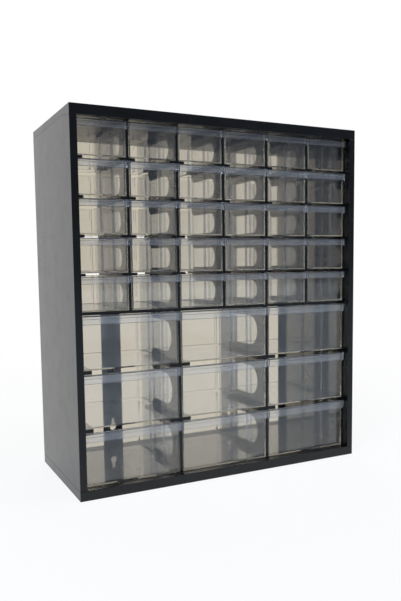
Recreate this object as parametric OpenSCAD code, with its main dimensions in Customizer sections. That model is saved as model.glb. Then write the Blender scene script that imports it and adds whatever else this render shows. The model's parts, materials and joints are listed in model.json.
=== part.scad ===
// Parts bin cabinet: a black open-backed frame that holds thirty small clear drawers
// above nine large ones. All lengths are in millimetres.
//
// X runs across the cabinet, Y runs from the drawer fronts (-Y) to the back (+Y) and Z is
// up. The origin is under the middle of the cabinet, on the surface that it stands on.
// Inside from_front() a depth of 0 is where the drawer fronts, the dividers and the ledges
// end. The border round them stands out in front of it.

/* [Frame] */
// Depth of the frame behind the front edges of its dividers
frame_d = 160; // [150:1:220]
// How far the border stands out in front of the dividers
border_out = 11.8; // [6:0.2:16]
// Width of the frame beside the outer columns
side_band = 9.3; // [8.6:0.1:16]
// Height of the fascia above the top row
top_band = 11.7; // [9:0.1:24]
// Height of the plinth under the bottom row
base_band = 11.6; // [10:0.2:24]
// Wall of the side skins, the roof and the floor
skin_t = 2.8; // [2:0.1:4]
// Thickness of the front and rear bands, along the depth
band_t = 3; // [2:0.1:5]
// How far the fascia hangs below the roof
fascia_drop = 3; // [1:0.5:5]
// Spare height above the top row of drawers
top_room = 0.8; // [0:0.2:6]

/* [Shelf, dividers and ledges] */
// Thickness of the shelf between small and large drawers
shelf_t = 3.5; // [2.2:0.1:6]
// Thickness of the upright dividers
divider_t = 3; // [2:0.2:5]
// Thickness of the ledges that the small drawers slide on
small_ledge_t = 3; // [2:0.2:6]
// Thickness of the ledges that the large drawers slide on
large_ledge_t = 4.1; // [2:0.1:6]
// How far a ledge stands out under a small drawer
small_ledge_w = 8; // [5:0.5:12]
// How far a ledge stands out under a large drawer
large_ledge_w = 12; // [6:0.5:18]
// Depth of the ledges and of the divider arms that carry them
arm_d = 86; // [76:1:110]
// Depth of the solid post at the front of a divider
post_d = 21; // [14:1:30]
// Height of an arm of the small section above its ledge
small_arm_rise = 5.5; // [4:0.5:9]
// Height of an arm of the small section below its ledge
small_arm_fall = 10.5; // [4:0.5:13]
// Height of an arm of the large section above its ledge
large_arm_rise = 10.5; // [4:0.5:14]
// Height of an arm of the large section below its ledge
large_arm_fall = 13.5; // [4:0.5:18]
// Corner cut off the free end of each arm
arm_cut = 6; // [1:0.5:8]

/* [Rear straps] */
// Distance between the middles of the two rear straps
strap_spacing = 193; // [160:1:210]
// Width of a rear strap
strap_w = 28; // [20:1:40]
// Thickness of a rear strap
strap_t = 3; // [2:0.2:5]
// Diameter of the round part of a keyhole
keyhole_d = 9.4; // [7:0.2:12]
// Width of the slot of a keyhole
keyhole_slot_w = 4.6; // [3:0.2:6]
// Height from the keyhole's round centre to the top of its slot
keyhole_rise = 12; // [10:0.5:20]
// Height of the lower keyholes above the standing surface
keyhole_low = 37; // [30:1:60]
// Depth of the upper keyholes below the top of the cabinet
keyhole_high = 40; // [36:1:70]

/* [Drawer cells] */
// Clear width of a small cell
small_w = 59.4; // [50:0.2:80]
// Clear height of a small cell
small_h = 40.6; // [32:0.2:56]
// Clear height of a large cell
large_h = 63.7; // [50:0.1:90]

/* [Drawers] */
// Depth of a drawer behind its front face
drawer_d = 135; // [120:1:145]
// Clearance at each side of a drawer
drawer_side_gap = 0.6; // [0.4:0.1:1.2]
// Running gap between a drawer and the ledge under it
drawer_rest_gap = 0.3; // [0.2:0.1:0.6]
// Headroom above a drawer
drawer_head_gap = 0.5; // [0.5:0.1:4]
// Thickness of the sides, back and floor of a drawer
drawer_wall = 1.4; // [1:0.1:2.4]
// Thickness of the front of a drawer
drawer_front = 1.8; // [1.2:0.1:3]
// How far the finger lip stands out of the front
lip_out = 4; // [3:0.2:5.6]
// Wall of the finger lip
lip_t = 1.4; // [1:0.1:2]
// Height of the lip of a small drawer
small_lip_h = 8.4; // [6:0.2:12]
// Height of the lip of a large drawer
large_lip_h = 10.4; // [6:0.2:14]
// How far a lip overlaps the divider or band beside it
lip_over = 1.1; // [0.6:0.1:1.4]
// Gap between a lip and the divider or band behind it
lip_gap = 0.3; // [0.2:0.1:0.6]
// Gap between the end of a lip and the border beside it
lip_side_gap = 0.3; // [0.2:0.1:0.6]

/* [Slots for loose partitions] */
// Distance from one pair of slot ribs to the next, and from the front to the first
slot_pitch = 45; // [30:1:50]
// Free width of a slot
slot_w = 1.6; // [1:0.1:2.4]
// Width of a slot rib along the drawer
rib_w = 1; // [0.8:0.1:1.6]
// How far a slot rib stands in from the drawer's side
rib_out = 1.2; // [0.8:0.1:1.8]

/* [Hidden] */
small_rows = 5;
small_columns = 6;
large_rows = 3;
large_columns = 3;
slots = 2;
cut = 1; // how far a cutting shape runs past the face that it opens
$fn = 64;

large_w = 2 * small_w + divider_t;
inner_w = small_columns * small_w + (small_columns - 1) * divider_t;
cabinet_w = inner_w + 2 * side_band;
shelf_z = base_band + large_rows * large_h + (large_rows - 1) * large_ledge_t;
small_base_z = shelf_z + shelf_t;
top_z = small_base_z + small_rows * small_h + (small_rows - 1) * small_ledge_t + top_room;
roof_z = top_z + fascia_drop;
cabinet_h = top_z + top_band;
front_y = border_out - (frame_d + border_out) / 2;
border_w = side_band + drawer_side_gap - lip_over - lip_side_gap;

frame_black = "#1b1b1d";
clear_styrene = [0.80, 0.86, 0.90, 0.45];

// Rows are counted from the top and columns from the left.
function small_floor(row) = small_base_z + (small_rows - row) * (small_h + small_ledge_t);
function large_floor(row) = base_band + (large_rows - row) * (large_h + large_ledge_t);
function small_x(column) = (column - 0.5) * small_w + (column - 1) * divider_t - inner_w / 2;
function large_x(column) = (column - 0.5) * large_w + (column - 1) * divider_t - inner_w / 2;
function upper_divider_x(k) = k * small_w + (k - 0.5) * divider_t - inner_w / 2;
function lower_divider_x(k) = k * large_w + (k - 0.5) * divider_t - inner_w / 2;

small_windows = [for (row = [1 : small_rows])
    [small_floor(row) + small_arm_rise, small_floor(row) + small_h - small_arm_fall]];
large_windows = [for (row = [1 : large_rows])
    [large_floor(row) + large_arm_rise, large_floor(row) + large_h - large_arm_fall]];
// Ledges stand under every row but the lowest of each section.
small_ledges = [for (row = [1 : small_rows - 1]) small_floor(row)];
large_ledges = [for (row = [1 : large_rows - 1]) large_floor(row)];

// Puts a depth of 0 at the front edges of the dividers.
module from_front() {
    translate([0, front_y, 0]) children();
}

// A block between two widths, two depths and two heights.
module block(x0, x1, y0, y1, z0, z1) {
    translate([x0, y0, z0]) cube([x1 - x0, y1 - y0, z1 - z0]);
}

// A block centred on x = 0.
module wide_block(w, y0, y1, z0, z1) {
    block(-w / 2, w / 2, y0, y1, z0, z1);
}

// A rim round the outside of the frame, with thicker walls at the front and the back.
module rim(z0, z1) {
    difference() {
        wide_block(cabinet_w, 0, frame_d, z0, z1);
        wide_block(cabinet_w - 2 * skin_t, band_t, frame_d - band_t, z0 - cut, z1 + cut);
    }
}

// The roof is the floor of a shallow tray, with the fascia in front of it.
module top_panel() {
    color(frame_black) from_front() {
        rim(roof_z, cabinet_h);
        wide_block(cabinet_w, 0, frame_d, roof_z, roof_z + skin_t);
        wide_block(cabinet_w, -border_out, band_t, top_z, cabinet_h);
    }
}

// The floor under the bottom row stands on a rim that is open underneath.
module base_panel() {
    color(frame_black) from_front() {
        rim(0, base_band);
        wide_block(cabinet_w, 0, frame_d, base_band - skin_t, base_band);
        wide_block(cabinet_w, -border_out, band_t, 0, base_band);
    }
}

// The ledges of a side, at several heights.
module side_ledges(floors, x0, x1, ledge_t) {
    for (z = floors) block(x0, x1, 0, arm_d, z - ledge_t, z);
}

// A side is a skin with a band at the back, a border in front of its ledges, and the ledges.
module side_wall() {
    inner_x = inner_w / 2;
    skin_x = cabinet_w / 2 - skin_t;
    outer_x = cabinet_w / 2;
    block(skin_x, outer_x, band_t, frame_d, base_band, roof_z);
    block(inner_x, outer_x, frame_d - band_t, frame_d, base_band, roof_z);
    block(inner_x, outer_x, 0, band_t, base_band, top_z);
    block(outer_x - border_w, outer_x, -border_out, 0, base_band, top_z);
    side_ledges(small_ledges, inner_x - small_ledge_w, skin_x + skin_t / 2, small_ledge_t);
    side_ledges(large_ledges, inner_x - large_ledge_w, skin_x + skin_t / 2, large_ledge_t);
}

module right_side() {
    color(frame_black) from_front() side_wall();
}

module left_side() {
    color(frame_black) from_front() mirror([1, 0, 0]) side_wall();
}

// The full-width shelf between the two sections reaches past the bands to the side skins.
module mid_shelf() {
    color(frame_black) from_front() {
        wide_block(inner_w, 0, frame_d - strap_t, shelf_z, small_base_z);
        wide_block(cabinet_w - 2 * skin_t, band_t, frame_d - max(band_t, strap_t),
                   shelf_z, small_base_z);
    }
}

// The opening above each arm, drawn with depth along X and height along Y: it has a round
// front end and runs out at the back, where the corners of the arms are cut off.
module window(z0, z1) {
    r = (z1 - z0) / 2;
    translate([post_d + r, z0 + r]) circle(r);
    translate([post_d + r, z0]) square([arm_d, z1 - z0]);
    polygon([
        [arm_d - arm_cut, z0],
        [arm_d + arm_cut, z0 - 2 * arm_cut],
        [arm_d + arm_cut, z1 + 2 * arm_cut],
        [arm_d - arm_cut, z1]
    ]);
}

// One upright divider: a front post with an arm at each row, and a ledge on both sides of
// each arm but the lowest. windows holds the lowest and highest z of the opening over each
// arm. notch_z is where the divider's front is cut back behind the fascia.
module divider(z0, z1, windows, ledges, ledge_w, ledge_t, notch_z) {
    rotate([90, 0, 90]) translate([0, 0, -divider_t / 2]) linear_extrude(divider_t)
        difference() {
            translate([0, z0]) square([arm_d, z1 - z0]);
            for (w = windows) window(w[0], w[1]);
            translate([-cut, notch_z]) square([band_t + cut, z1 - notch_z + cut]);
        }
    for (z = ledges) wide_block(divider_t + 2 * ledge_w, 0, arm_d, z - ledge_t, z);
}

module upper_divider(k) {
    color(frame_black) from_front() translate([upper_divider_x(k), 0, 0])
        divider(small_base_z, roof_z, small_windows, small_ledges, small_ledge_w, small_ledge_t, top_z);
}

module lower_divider(k) {
    color(frame_black) from_front() translate([lower_divider_x(k), 0, 0])
        divider(base_band, shelf_z, large_windows, large_ledges, large_ledge_w, large_ledge_t, shelf_z);
}

// A keyhole through a strap: a round hole for a screw's head with a slot above it.
module keyhole(z) {
    slot_end = keyhole_rise - keyhole_slot_w / 2;
    translate([0, strap_t + cut, z]) rotate([90, 0, 0]) linear_extrude(strap_t + 2 * cut) {
        circle(d = keyhole_d);
        translate([-keyhole_slot_w / 2, 0]) square([keyhole_slot_w, slot_end]);
        translate([0, slot_end]) circle(d = keyhole_slot_w);
    }
}

// A rear strap ties the floor, the shelf and the roof together, and carries the keyholes.
module rear_strap(side) {
    color(frame_black) from_front()
        translate([side * strap_spacing / 2, frame_d - strap_t, 0]) difference() {
            wide_block(strap_w, 0, strap_t, base_band, roof_z);
            keyhole(keyhole_low);
            keyhole(cabinet_h - keyhole_high);
        }
}

// The finger lip: a channel along the top of the front, open underneath, with closed ends.
module finger_lip(w, h, lip_h) {
    lip_w = w + 2 * lip_over;
    wide_block(lip_w, -lip_out, -lip_gap, h - lip_t, h);
    wide_block(w, -lip_gap, drawer_front, h - lip_t, h);
    wide_block(lip_w, -lip_out, lip_t - lip_out, h - lip_h, h);
    for (side = [-1, 1])
        translate([side * (lip_w - lip_t) / 2, 0, 0])
            wide_block(lip_t, -lip_out, -lip_gap, h - lip_h, h);
}

// Two ribs on each side of the drawer make a slot for a loose partition.
module slot_ribs(w, h) {
    rib_x = w / 2 - drawer_wall - rib_out;
    for (i = [1 : slots], side = [0, 1], end = [-1, 1])
        mirror([side, 0, 0])
            translate([rib_x, i * slot_pitch + end * (slot_w + rib_w) / 2 - rib_w / 2,
                       drawer_wall / 2])
                cube([rib_out + drawer_wall / 2, rib_w, h - drawer_wall / 2]);
}

// An open-topped drawer that stands on z = 0 with its front face at a depth of 0.
module drawer(w, h, lip_h) {
    difference() {
        wide_block(w, 0, drawer_d, 0, h);
        wide_block(w - 2 * drawer_wall, drawer_front, drawer_d - drawer_wall,
                   drawer_wall, h + cut);
    }
    slot_ribs(w, h);
    finger_lip(w, h, lip_h);
}

module small_drawer(row, column) {
    color(clear_styrene) from_front()
        translate([small_x(column), 0, small_floor(row) + drawer_rest_gap])
            drawer(small_w - 2 * drawer_side_gap,
                   small_h - drawer_rest_gap - drawer_head_gap, small_lip_h);
}

module large_drawer(row, column) {
    color(clear_styrene) from_front()
        translate([large_x(column), 0, large_floor(row) + drawer_rest_gap])
            drawer(large_w - 2 * drawer_side_gap,
                   large_h - drawer_rest_gap - drawer_head_gap, large_lip_h);
}

top_panel();
base_panel();
left_side();
right_side();
mid_shelf();
for (k = [1 : small_columns - 1])
    upper_divider(k);
for (k = [1 : large_columns - 1])
    lower_divider(k);
rear_strap(-1);  // left_rear_strap
rear_strap(1);  // right_rear_strap
for (r = [1 : small_rows], c = [1 : small_columns])
    small_drawer(r, c);
for (r = [1 : large_rows], c = [1 : large_columns])
    large_drawer(r, c);
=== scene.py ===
"""Looks of the parts bin cabinet: a black moulded frame with thirty small and nine large clear drawers."""

import json  # noqa: E402
import logging  # noqa: E402
import math  # noqa: E402
from dataclasses import dataclass  # noqa: E402
from enum import Enum  # noqa: E402

import bmesh  # noqa: E402
import bpy  # noqa: E402
from mathutils import Matrix, Vector  # noqa: E402


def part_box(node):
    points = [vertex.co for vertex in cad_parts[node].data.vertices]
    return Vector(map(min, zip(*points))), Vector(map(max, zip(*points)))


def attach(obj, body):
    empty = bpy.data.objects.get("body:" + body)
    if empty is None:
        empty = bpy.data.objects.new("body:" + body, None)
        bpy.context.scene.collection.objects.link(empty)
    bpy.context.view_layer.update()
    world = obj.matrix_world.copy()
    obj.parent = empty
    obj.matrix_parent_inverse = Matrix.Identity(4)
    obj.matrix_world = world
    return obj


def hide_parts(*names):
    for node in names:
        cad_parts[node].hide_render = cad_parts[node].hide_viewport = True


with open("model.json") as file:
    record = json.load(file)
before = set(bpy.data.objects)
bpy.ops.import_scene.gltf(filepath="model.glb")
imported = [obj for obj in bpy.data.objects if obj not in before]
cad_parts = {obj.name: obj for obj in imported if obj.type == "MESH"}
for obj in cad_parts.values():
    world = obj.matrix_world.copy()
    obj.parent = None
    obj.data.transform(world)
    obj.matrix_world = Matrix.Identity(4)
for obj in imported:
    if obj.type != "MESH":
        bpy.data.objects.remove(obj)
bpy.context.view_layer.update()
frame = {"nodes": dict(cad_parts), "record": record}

logging.basicConfig(level=logging.INFO, format="%(levelname)s %(message)s")
LOG = logging.getLogger("parts_cabinet")

Span = tuple[float, float]
Triple = tuple[float, float, float]
Flat = tuple[float, float, float, float]  # lowest x, highest x, lowest y and highest y, in millimetres

MM = 0.001
MERGE = 0.002  # points of a carved solid nearer than this become one, in millimetres
SQUARE = 0.9999  # a face counts as square when its normal follows an axis this closely
CORNER_FACES = 4  # faces round an upright corner
NOISE_LOW, NOISE_HIGH = 0.3, 0.7  # most of a noise texture's values lie between these
COLOUR_A, COLOUR_B, COLOUR_OUT = 6, 7, 2  # a mix node's colour sockets, whose names repeat


class Side(Enum):
    """The two sides of a drawer, by the sign of x."""

    LEFT = -1
    RIGHT = 1


class SlotName(Enum):
    """Material slots of the record."""

    FRAME = "frame_plastic"
    DRAWER = "drawer_plastic"


class Work(Enum):
    """What is done with a solid: it is joined to the body or cut from it."""

    JOIN = "UNION"
    CUT = "DIFFERENCE"


def linear(colour: str) -> tuple[float, float, float, float]:
    """Turns an sRGB hex colour to linear light.

    Args:
        colour: the colour as "#rrggbb".

    Returns:
        Linear red, green and blue, and a full alpha.
    """
    parts = [int(colour[i : i + 2], 16) / 255 for i in (1, 3, 5)]
    light = [c / 12.92 if c <= 0.04045 else ((c + 0.055) / 1.055) ** 2.4 for c in parts]
    return (light[0], light[1], light[2], 1.0)


def per_mm(size: float) -> float:
    """Gives the texture scale whose pattern repeats about once in size millimetres."""
    return 1 / (size * MM)


def add_node(
    tree: bpy.types.NodeTree,
    kind: str,
    settings: dict[str, object] | None = None,
    links: dict[str | int, bpy.types.NodeSocket] | None = None,
) -> bpy.types.Node:
    """Adds one node with its settings and links.

    Args:
        tree: the node tree that it goes into.
        kind: the node's Blender type name.
        settings: values by attribute name, or by input name or index for its sockets.
        links: sockets of earlier nodes, by the name or index of the input that they feed.

    Returns:
        The new node.
    """
    node = tree.nodes.new(kind)
    for key, value in (settings or {}).items():
        if isinstance(key, str) and hasattr(node, key):
            setattr(node, key, value)
        else:
            node.inputs[key].default_value = value
    for key, source in (links or {}).items():
        tree.links.new(source, node.inputs[key])
    return node


def new_material(name: str) -> tuple[bpy.types.Material, bpy.types.NodeTree]:
    """Makes an empty node material.

    Args:
        name: its name.

    Returns:
        The material and its node tree.
    """
    material = bpy.data.materials.new(name)
    material.use_nodes = True
    material.node_tree.nodes.clear()
    return material, material.node_tree


@dataclass(frozen=True)
class BlackPolypropylene:
    """Black polypropylene, injection moulded in a fine spark-eroded tool.

    The eroded tool leaves a satin, slightly pebbled skin. Seen straight on it stays near black, and seen
    along its length it takes a grey sheen. Faint scuffs break the sheen up.
    """

    name: str = "black_polypropylene_moulded"
    colour: str = "#040405"
    scuffed: str = "#0c0c0e"
    ior: float = 1.49
    roughness: float = 0.24
    roughness_spread: Span = (-0.03, 0.05)
    grain_mm: float = 0.9  # real spark grain is about 0.1 mm; drawn coarser so that it shows
    grain_depth_mm: float = 0.05
    grain_strength: float = 0.25
    scuff_mm: float = 28.0
    scuff_band: Span = (0.42, 0.78)  # noise values at which a scuff begins and is full

    def build(self) -> bpy.types.Material:
        """Builds the material.

        Returns:
            The material.
        """
        material, tree = new_material(self.name)
        where = add_node(tree, "ShaderNodeTexCoord")
        scuffs = add_node(
            tree,
            "ShaderNodeTexNoise",
            {"Scale": per_mm(self.scuff_mm), "Detail": 8.0, "Roughness": 0.68},
            {"Vector": where.outputs["Object"]},
        )
        grain = add_node(
            tree,
            "ShaderNodeTexNoise",
            {"Scale": per_mm(self.grain_mm), "Detail": 2.0, "Roughness": 0.5},
            {"Vector": where.outputs["Object"]},
        )
        colour = add_node(tree, "ShaderNodeValToRGB", links={"Fac": scuffs.outputs["Fac"]})
        tones = (self.colour, self.scuffed)
        for stop, place, tone in zip(colour.color_ramp.elements, self.scuff_band, tones):
            stop.position = place
            stop.color = linear(tone)
        low, high = (self.roughness + change for change in self.roughness_spread)
        rough = add_node(
            tree,
            "ShaderNodeMapRange",
            {"From Min": NOISE_LOW, "From Max": NOISE_HIGH, "To Min": low, "To Max": high},
            {"Value": scuffs.outputs["Fac"]},
        )
        bump = add_node(
            tree,
            "ShaderNodeBump",
            {"Strength": self.grain_strength, "Distance": self.grain_depth_mm * MM},
            {"Height": grain.outputs["Fac"]},
        )
        shader = add_node(
            tree,
            "ShaderNodeBsdfPrincipled",
            {"IOR": self.ior},
            {
                "Base Color": colour.outputs["Color"],
                "Roughness": rough.outputs["Result"],
                "Normal": bump.outputs["Normal"],
            },
        )
        add_node(tree, "ShaderNodeOutputMaterial", links={"Surface": shader.outputs["BSDF"]})
        return material


@dataclass(frozen=True)
class ClearPolystyrene:
    """Clear general-purpose polystyrene, injection moulded in a polished tool.

    Its high index gives clear double reflections. Light that runs inside a thin wall comes out at its sharp
    edges as bright lines, a little dimmed on the way. Faint haze lays a pale veil over what lies behind it,
    and slow ripples bend that and vary the polish. A satin tool makes the finger lips paler and softer.
    Lamps shine through it.
    """

    name: str = "clear_polystyrene_moulded"
    colour: str = "#fbfcfd"
    haze: float = 0.007
    ior: float = 1.59
    roughness: float = 0.03
    roughness_spread: Span = (-0.01, 0.02)
    ripple_mm: float = 34.0  # slow waves that flow lines leave in a thin wall
    ripple_depth_mm: float = 0.1
    ripple_strength: float = 0.05
    shadow: str = "#e6e8ea"  # what a lamp's light keeps when it goes through one surface
    depth_colour: str = "#b4bab8"
    depth_density: float = 6.0  # dims by about a third what is seen along the whole length of a wall

    def build(self) -> bpy.types.Material:
        """Builds the material.

        Returns:
            The material.
        """
        material, tree = new_material(self.name)
        where = add_node(tree, "ShaderNodeTexCoord")
        ripples = add_node(
            tree,
            "ShaderNodeTexNoise",
            {"Scale": per_mm(self.ripple_mm), "Detail": 2.0, "Roughness": 0.4},
            {"Vector": where.outputs["Object"]},
        )
        bump = add_node(
            tree,
            "ShaderNodeBump",
            {"Strength": self.ripple_strength, "Distance": self.ripple_depth_mm * MM},
            {"Height": ripples.outputs["Fac"]},
        )
        low, high = (self.roughness + change for change in self.roughness_spread)
        rough = add_node(
            tree,
            "ShaderNodeMapRange",
            {"From Min": NOISE_LOW, "From Max": NOISE_HIGH, "To Min": low, "To Max": high},
            {"Value": ripples.outputs["Fac"]},
        )
        clear = add_node(
            tree,
            "ShaderNodeBsdfPrincipled",
            {"Base Color": linear(self.colour), "IOR": self.ior, "Transmission Weight": 1.0 - self.haze},
            {"Roughness": rough.outputs["Result"], "Normal": bump.outputs["Normal"]},
        )
        through = add_node(tree, "ShaderNodeBsdfTransparent", {"Color": linear(self.shadow)})
        path = add_node(tree, "ShaderNodeLightPath")
        mix = add_node(
            tree,
            "ShaderNodeMixShader",
            links={0: path.outputs["Is Shadow Ray"], 1: clear.outputs["BSDF"], 2: through.outputs["BSDF"]},
        )
        depth = add_node(
            tree,
            "ShaderNodeVolumeAbsorption",
            {"Color": linear(self.depth_colour), "Density": self.depth_density},
        )
        add_node(
            tree,
            "ShaderNodeOutputMaterial",
            links={"Surface": mix.outputs["Shader"], "Volume": depth.outputs["Volume"]},
        )
        return material


def block(low: Triple, high: Triple, radius: float = 0.0) -> bmesh.types.BMesh:
    """Makes a block, with rounded edges where a radius is given.

    Args:
        low: its lowest corner, in millimetres.
        high: its highest corner, in millimetres.
        radius: the edges' radius, in millimetres, or 0 for sharp ones.

    Returns:
        A closed mesh.
    """
    first, last = Vector(low), Vector(high)
    mesh = bmesh.new()
    place = Matrix.Translation((first + last) / 2) @ Matrix.Diagonal((*(last - first), 1.0))
    bmesh.ops.create_cube(mesh, size=1.0, matrix=place)
    if radius:
        bmesh.ops.bevel(
            mesh,
            geom=mesh.edges[:],
            offset=radius,
            segments=2,
            profile=0.5,
            affect="EDGES",
            clamp_overlap=True,
        )
    return mesh


def shrunk(box: Flat, inset: float) -> Flat:
    """Moves all four sides of a flat box inwards, or outwards where inset is below 0."""
    x0, x1, y0, y1 = box
    return (x0 + inset, x1 - inset, y0 + inset, y1 - inset)


def rounded_loop(
    mesh: bmesh.types.BMesh, box: Flat, radii: Span, height: float
) -> list[bmesh.types.BMVert]:
    """Adds the corners of one level loop of a tub.

    Args:
        mesh: the mesh that takes them.
        box: the loop's flat box.
        radii: radius of the two front corners and of the two rear corners.
        height: z of the loop.

    Returns:
        The loop's vertices, counter-clockwise from the front right corner.
    """
    x0, x1, y0, y1 = box
    front, rear = radii
    corners = ((x1, y0, -90, front), (x1, y1, 0, rear), (x0, y1, 90, rear), (x0, y0, 180, front))
    loop = []
    for x, y, start, radius in corners:
        cx = x - math.copysign(radius, x - (x0 + x1) / 2)
        cy = y - math.copysign(radius, y - (y0 + y1) / 2)
        for i in range(CORNER_FACES + 1):
            turn = math.radians(start + 90 * i / CORNER_FACES)
            place = (cx + radius * math.cos(turn), cy + radius * math.sin(turn), height)
            loop.append(mesh.verts.new(place))
    return loop


def loft(mesh: bmesh.types.BMesh, loops: list[list[bmesh.types.BMVert]]) -> None:
    """Closes the skin between loops of equal length, with a flat end on the first and the last.

    Args:
        mesh: the mesh that takes the faces.
        loops: the loops, in order.
    """
    count = len(loops[0])
    for low, high in zip(loops, loops[1:]):
        for i in range(count):
            j = (i + 1) % count
            mesh.faces.new((low[i], low[j], high[j], high[i]))
    mesh.faces.new(reversed(loops[0]))
    mesh.faces.new(loops[-1])


def temporary(mesh: bmesh.types.BMesh, name: str) -> bpy.types.Object:
    """Puts a bmesh into a scene object for a boolean, and frees the bmesh.

    Args:
        mesh: the closed mesh.
        name: name of the object and its mesh.

    Returns:
        The object.
    """
    data = bpy.data.meshes.new(name)
    bmesh.ops.recalc_face_normals(mesh, faces=mesh.faces[:])
    mesh.to_mesh(data)
    mesh.free()
    thing = bpy.data.objects.new(name, data)
    bpy.context.scene.collection.objects.link(thing)
    return thing


def carved(
    base: bmesh.types.BMesh, tools: list[tuple[Work, bmesh.types.BMesh]], name: str
) -> bpy.types.Mesh:
    """Joins solids to a base and cuts solids from it, in order.

    Args:
        base: the solid to start from.
        tools: the solids, each with what is done with it.
        name: name of the mesh.

    Returns:
        The finished mesh, in metres. Its rounds are shaded smooth and its square faces flat.
    """
    body = temporary(base, name)
    cutters = []
    for i, (work, solid) in enumerate(tools):
        cutter = temporary(solid, f"{name}_{i}")
        step = body.modifiers.new(f"step_{i}", "BOOLEAN")
        step.operation = work.value
        step.object = cutter
        step.solver = "EXACT"
        cutters.append(cutter)
    graph = bpy.context.evaluated_depsgraph_get()
    mesh = bpy.data.meshes.new_from_object(body.evaluated_get(graph))
    mesh.name = name
    for thing in [body, *cutters]:
        data = thing.data
        bpy.data.objects.remove(thing)
        bpy.data.meshes.remove(data)
    clean = bmesh.new()
    clean.from_mesh(mesh)
    bmesh.ops.remove_doubles(clean, verts=clean.verts[:], dist=MERGE)
    bmesh.ops.scale(clean, vec=(MM, MM, MM), verts=clean.verts[:])
    clean.to_mesh(mesh)
    clean.free()
    for face in mesh.polygons:
        face.use_smooth = max(abs(part) for part in face.normal) < SQUARE
    return mesh


@dataclass
class Drawer:
    """One clear drawer, in millimetres: a thin tub with slots for partitions, and a hollow finger lip."""

    name: str
    width: float
    height: float
    lip_height: float
    depth: float = 135.0
    wall: float = 1.4
    front: float = 1.8
    corner: float = 0.3
    rear_corner: float = 3.0
    inner_corner: float = 0.5
    least_corner: float = 0.1
    foot: float = 0.4
    foot_faces: int = 3
    rim: float = 0.25
    lip_out: float = 4.0
    lip_over: float = 1.1  # past the tub at each side
    lip_gap: float = 0.3  # between the lip's back and the frame that stops it
    lip_wall: float = 1.4
    lip_edge: float = 0.45
    lip_step: float = 0.5
    lip_upper: float = 0.42  # the share of the lip's height that lies above its step
    bridge_side: float = 0.3  # inside the tub's sides
    bridge_out: float = 1.5
    bridge_in: float = 1.0
    slots: int = 2
    slot_pitch: float = 45.0
    slot_width: float = 1.6
    rib: float = 1.0
    rib_out: float = 1.2
    rib_drop: float = 1.0
    rib_edge: float = 0.25
    past: float = 1.0  # how far a cutter reaches past what it cuts
    hair: float = 0.01  # the same at the lip's open back, where the tub stands close behind
    trim_in: float = 2.0  # how far back the cutters beside the tub reach

    def tub(self) -> bmesh.types.BMesh:
        """Lofts the open tub, from the middle of its foot up the outside, over the rim and down the inside.

        Returns:
            A closed mesh.
        """
        mesh = bmesh.new()
        half, wall, rim = self.width / 2, self.wall, self.rim
        outer = (-half, half, 0.0, self.depth)
        inner = (wall - half, half - wall, self.front, self.depth - wall)
        bends = (self.inner_corner, self.rear_corner - wall)
        turns = [math.radians(90 * i / self.foot_faces) for i in range(self.foot_faces + 1)]
        loops = []
        for turn in turns:
            inset = self.foot * (1 - math.sin(turn))
            radii = (max(self.corner - inset, self.least_corner), self.rear_corner - inset)
            height = self.foot * (1 - math.cos(turn))
            loops.append(rounded_loop(mesh, shrunk(outer, inset), radii, height))
        loops.append(rounded_loop(mesh, outer, (self.corner, self.rear_corner), self.height - rim))
        radii = (self.least_corner, self.rear_corner - rim)
        loops.append(rounded_loop(mesh, shrunk(outer, rim), radii, self.height))
        loops.append(rounded_loop(mesh, shrunk(inner, -rim), bends, self.height))
        loops.append(rounded_loop(mesh, inner, bends, self.height - rim))
        for turn in turns:
            box = shrunk(inner, self.foot * (1 - math.cos(turn)))
            loops.append(rounded_loop(mesh, box, bends, wall + self.foot * (1 - math.sin(turn))))
        loft(mesh, loops)
        return mesh

    def ribs(self) -> list[bmesh.types.BMesh]:
        """Makes the upright ribs that hold loose partitions: a pair for each slot, at both sides of the tub.

        Returns:
            The ribs.
        """
        made = []
        inside = self.width / 2 - self.wall
        for side in Side:
            ends = (inside - self.rib_out, inside + self.wall / 2)
            x0, x1 = sorted(side.value * end for end in ends)
            for slot in range(1, self.slots + 1):
                for end in (-1, 1):
                    middle = slot * self.slot_pitch + end * (self.slot_width + self.rib) / 2
                    low = (x0, middle - self.rib / 2, self.wall / 2)
                    high = (x1, middle + self.rib / 2, self.height - self.rib_drop)
                    made.append(block(low, high, self.rib_edge))
        return made

    def lip(self) -> list[tuple[Work, bmesh.types.BMesh]]:
        """Makes the stepped channel of the finger lip, the hollow under it and the bridge that carries it.

        Returns:
            The solids in order, each with what is done with it.
        """
        wall, past = self.lip_wall, self.past
        side, back, front = self.width / 2, -self.lip_gap, -self.lip_out
        half, stepped, span = side + self.lip_over, front + self.lip_step, side - self.bridge_side
        top = self.height
        bottom, mid = top - self.lip_height, top - self.lip_height * self.lip_upper
        upper = block((-half, front, mid), (half, back, top), self.lip_edge)
        skirt = block((-half, stepped, bottom), (half, back, mid + wall), self.lip_edge)
        low, high = (wall - half, stepped + wall, bottom - past), (half - wall, back + self.hair, top - wall)
        hollow = block(low, high)
        bridge = block((-span, -self.bridge_out, top - wall), (span, self.bridge_in, top))
        left = block((-half - past, back, bottom - past), (-side, self.trim_in, top + past))
        right = block((side, back, bottom - past), (half + past, self.trim_in, top + past))
        return [
            (Work.JOIN, upper),
            (Work.JOIN, skirt),
            (Work.CUT, hollow),
            (Work.JOIN, bridge),
            (Work.CUT, left),
            (Work.CUT, right),
        ]

    def mesh(self) -> bpy.types.Mesh:
        """Makes the whole drawer as one closed skin, with the faces of its lip in the second material.

        Returns:
            The mesh.
        """
        steps = [(Work.JOIN, rib) for rib in self.ribs()] + self.lip()
        mesh = carved(self.tub(), steps, self.name)
        for face in mesh.polygons:
            face.material_index = int(face.center.y < -self.lip_gap * MM)
        return mesh


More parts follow.
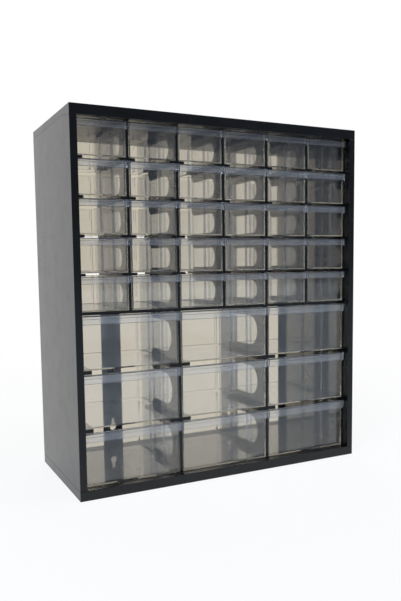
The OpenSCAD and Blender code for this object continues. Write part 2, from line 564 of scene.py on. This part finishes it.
@dataclass
class DrawerBank:
    """The drawers of one size, each on its own body."""

    pattern: Drawer
    rows: int
    columns: int

    def build(self, tub: bpy.types.Material, lip: bpy.types.Material) -> list[bpy.types.Object]:
        """Builds one drawer for each CAD drawer of this size, in its place.

        Args:
            tub: the clear plastic.
            lip: the satin plastic of the finger lips.

        Returns:
            The drawers.
        """
        shape = self.pattern.mesh()
        shape.materials.append(tub)
        shape.materials.append(lip)
        made = []
        for row in range(1, self.rows + 1):
            for column in range(1, self.columns + 1):
                node = f"{self.pattern.name}_{row}_{column}"
                low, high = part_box(node)
                drawer = bpy.data.objects.new(f"clear_{node}", shape)
                bpy.context.scene.collection.objects.link(drawer)
                drawer.location = ((low[0] + high[0]) / 2, low[1] + self.pattern.lip_out * MM, low[2])
                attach(drawer, node)
                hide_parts(node)
                made.append(drawer)
        return made


@dataclass
class CabinetFrame:
    """The black frame: its CAD pieces, with softened edges. Lengths in millimetres, the angle in degrees."""

    edge_radius: float = 0.45
    edge_faces: int = 2
    edge_angle: float = 40.0
    weld_gap: float = 0.001  # points of a CAD mesh nearer than this become one

    def dress(self, finish: bpy.types.Material) -> list[bpy.types.Object]:
        """Gives every piece of the frame its finish and its softened edges.

        Args:
            finish: the black plastic.

        Returns:
            The pieces.
        """
        made = []
        for node in frame["record"]["behaviour"]["bodies"]["frame"]:
            piece = frame["nodes"][node]
            piece.data.materials.clear()
            piece.data.materials.append(finish)
            weld = piece.modifiers.new("weld", "WELD")
            weld.merge_threshold = self.weld_gap * MM
            soften = piece.modifiers.new("soften", "BEVEL")
            soften.width = self.edge_radius * MM
            soften.segments = self.edge_faces
            soften.limit_method = "ANGLE"
            soften.angle_limit = math.radians(self.edge_angle)
            soften.harden_normals = True
            made.append(piece)
        return made


@dataclass(frozen=True)
class Lamp:
    """One soft square lamp."""

    name: str
    place: Triple  # metres
    size: float  # metres
    power: float  # watts
    colour: str

    def hang(self, aim: Triple) -> None:
        """Hangs the lamp so that it faces a point.

        Args:
            aim: the point, in metres.
        """
        data = bpy.data.lights.new(self.name, "AREA")
        data.shape = "SQUARE"
        data.size = self.size
        data.energy = self.power
        data.color = linear(self.colour)[:3]
        lamp = bpy.data.objects.new(self.name, data)
        lamp.location = self.place
        lamp.rotation_euler = (Vector(aim) - Vector(self.place)).to_track_quat("-Z", "Y").to_euler()
        bpy.context.scene.collection.objects.link(lamp)


@dataclass
class Studio:
    """Camera, floor, backdrop and lamps. Lengths in metres, angles in degrees."""

    camera_place: Triple = (-0.3908, -0.7765, 0.2677)
    camera_turn: Triple = (84.745, 0.788, -26.231)
    camera_shift: Span = (0.01428, 0.03703)
    lens: float = 38.488  # millimetres
    sensor: float = 36.0  # millimetres
    room: str = "#707886"
    backdrop: str = "#d4c9b4"
    backdrop_reach: Span = (-0.15, 0.25)  # y of the directions at which the backdrop begins and is full
    floor_half: float = 6.0
    floor_colour: str = "#6e6e6c"
    floor_front: str = "#bac5d2"
    floor_reach: Span = (-0.3, 0.1)  # y at which the floor turns from its front colour to the backdrop's
    floor_near: float = 0.86
    floor_fade: Span = (0.25, 1.2)  # distances at which the floor's lit part begins to fade and is gone
    aim: Triple = (0.0, 0.0, 0.22)
    lamps: tuple[Lamp, ...] = (
        Lamp("key", (-1.5, -1.5, 2.0), 1.6, 46.0, "#e2ecff"),
        Lamp("fill", (1.4, -1.0, 1.9), 1.4, 16.0, "#e2ecff"),
        Lamp("rear", (0.4, 1.6, 1.6), 1.4, 14.0, "#fff6e8"),
    )
    clear_bounces: int = 64  # light in a thin clear wall is turned back this often before it comes out
    dull_bounces: int = 3

    def camera(self) -> None:
        """Makes the camera and makes it the scene's."""
        data = bpy.data.cameras.new("camera")
        data.lens = self.lens
        data.sensor_width = self.sensor
        data.shift_x, data.shift_y = self.camera_shift
        camera = bpy.data.objects.new("camera", data)
        camera.location = self.camera_place
        camera.rotation_euler = tuple(math.radians(a) for a in self.camera_turn)
        bpy.context.scene.collection.objects.link(camera)
        bpy.context.scene.camera = camera

    def surroundings(
        self, tree: bpy.types.NodeTree, depth: bpy.types.NodeSocket, reach: Span
    ) -> tuple[bpy.types.NodeSocket, bpy.types.NodeSocket, bpy.types.Node]:
        """Adds what eyes, mirrors and clear plastic see of the room.

        Args:
            tree: the tree of the world or of the floor.
            depth: how far towards the back the seen point or direction lies.
            reach: the depths at which the backdrop begins and at which nothing else is seen.

        Returns:
            The factor of the rays that see it: those of the eye, of mirrors and through clear plastic. The
            backdrop's share in what they see. The mix node with the backdrop's colour, which is white to the
            eye and in mirrors, and its own pale colour through clear plastic.
        """
        path = add_node(tree, "ShaderNodeLightPath")
        bounced = add_node(
            tree,
            "ShaderNodeMath",
            {"operation": "MAXIMUM"},
            {0: path.outputs["Is Glossy Ray"], 1: path.outputs["Is Transmission Ray"]},
        )
        seen = add_node(
            tree,
            "ShaderNodeMath",
            {"operation": "MAXIMUM"},
            {0: bounced.outputs[0], 1: path.outputs["Is Camera Ray"]},
        )
        begins, full = reach
        behind = add_node(
            tree,
            "ShaderNodeMapRange",
            {"From Min": begins, "From Max": full},
            {"Value": depth},
        )
        faced = add_node(
            tree,
            "ShaderNodeMath",
            {"operation": "MAXIMUM"},
            {0: behind.outputs[0], 1: path.outputs["Is Camera Ray"]},
        )
        colour = add_node(
            tree,
            "ShaderNodeMix",
            {"data_type": "RGBA", COLOUR_A: linear("#ffffff"), COLOUR_B: linear(self.backdrop)},
            {0: path.outputs["Transmission Depth"]},
        )
        return seen.outputs[0], faced.outputs[0], colour

    def world(self) -> None:
        """Makes what is seen past the floor: a dim room in front and a pale backdrop behind."""
        world = bpy.data.worlds.new("studio")
        bpy.context.scene.world = world
        world.use_nodes = True
        tree = world.node_tree
        tree.nodes.clear()
        where = add_node(tree, "ShaderNodeTexCoord")
        axes = add_node(tree, "ShaderNodeSeparateXYZ", links={0: where.outputs["Generated"]})
        seen, faced, backdrop = self.surroundings(tree, axes.outputs["Y"], self.backdrop_reach)
        factor = add_node(tree, "ShaderNodeMath", {"operation": "MULTIPLY"}, {0: faced, 1: seen})
        colour = add_node(
            tree,
            "ShaderNodeMix",
            {"data_type": "RGBA", COLOUR_A: linear(self.room)},
            {0: factor.outputs[0], COLOUR_B: backdrop.outputs[COLOUR_OUT]},
        )
        light = add_node(tree, "ShaderNodeBackground", links={"Color": colour.outputs[COLOUR_OUT]})
        add_node(tree, "ShaderNodeOutputWorld", links={"Surface": light.outputs[0]})

    def floor(self) -> None:
        """Lays the pale floor.

        It keeps a faint shadow near the cabinet and runs into the backdrop without a line: what the lamps
        light fades with distance, while its own glow grows to full.
        """
        half = self.floor_half
        data = bpy.data.meshes.new("floor")
        corners = [(-half, -half, 0), (half, -half, 0), (half, half, 0), (-half, half, 0)]
        data.from_pydata(corners, [], [(0, 1, 2, 3)])
        floor = bpy.data.objects.new("floor", data)
        bpy.context.scene.collection.objects.link(floor)
        material, tree = new_material("pale_floor")
        where = add_node(tree, "ShaderNodeTexCoord")
        axes = add_node(tree, "ShaderNodeSeparateXYZ", links={0: where.outputs["Object"]})
        seen, faced, backdrop = self.surroundings(tree, axes.outputs["Y"], self.floor_reach)
        away = add_node(tree, "ShaderNodeVectorMath", {"operation": "LENGTH"}, {0: where.outputs["Object"]})
        begins, gone = self.floor_fade
        far = add_node(
            tree,
            "ShaderNodeMapRange",
            {"From Min": begins, "From Max": gone},
            {"Value": away.outputs["Value"]},
        )
        glow = add_node(
            tree,
            "ShaderNodeMapRange",
            {"To Min": self.floor_near, "To Max": 1.0},
            {"Value": far.outputs[0]},
        )
        strength = add_node(tree, "ShaderNodeMath", {"operation": "MULTIPLY"}, {0: glow.outputs[0], 1: seen})
        colour = add_node(
            tree,
            "ShaderNodeMix",
            {"data_type": "RGBA", COLOUR_A: linear(self.floor_front)},
            {0: faced, COLOUR_B: backdrop.outputs[COLOUR_OUT]},
        )
        paint = add_node(
            tree,
            "ShaderNodeMix",
            {"data_type": "RGBA", COLOUR_A: linear(self.floor_colour), COLOUR_B: linear("#000000")},
            {0: far.outputs[0]},
        )
        matt = add_node(tree, "ShaderNodeBsdfDiffuse", links={"Color": paint.outputs[COLOUR_OUT]})
        lit = add_node(
            tree,
            "ShaderNodeEmission",
            links={"Color": colour.outputs[COLOUR_OUT], "Strength": strength.outputs[0]},
        )
        both = add_node(tree, "ShaderNodeAddShader", links={0: matt.outputs[0], 1: lit.outputs[0]})
        add_node(tree, "ShaderNodeOutputMaterial", links={"Surface": both.outputs[0]})
        data.materials.append(material)

    def build(self) -> None:
        """Builds the whole studio."""
        self.camera()
        self.world()
        self.floor()
        for lamp in self.lamps:
            lamp.hang(self.aim)
        scene = bpy.context.scene
        scene.view_settings.view_transform = "Standard"
        scene.cycles.max_bounces = self.clear_bounces
        scene.cycles.transmission_bounces = self.clear_bounces
        scene.cycles.transparent_max_bounces = self.clear_bounces
        scene.cycles.glossy_bounces = self.clear_bounces
        scene.cycles.diffuse_bounces = self.dull_bounces
        LOG.info("studio: camera, floor, backdrop and %d lamps", len(self.lamps))


def main() -> None:
    """Builds the cabinet's looks and its studio."""
    Studio().build()
    pieces = CabinetFrame().dress(BlackPolypropylene().build())
    clear = ClearPolystyrene().build()
    satin = ClearPolystyrene("satin_polystyrene_moulded", haze=0.068, roughness=0.08).build()
    pieces += DrawerBank(Drawer("small_drawer", 58.2, 39.8, 8.4), 5, 6).build(clear, satin)
    pieces += DrawerBank(Drawer("large_drawer", 120.6, 62.9, 10.4), 3, 3).build(clear, satin)
    for piece in pieces:
        LOG.info("%s: %d faces", piece.name, len(piece.data.polygons))


if __name__ == "__main__":
    main()
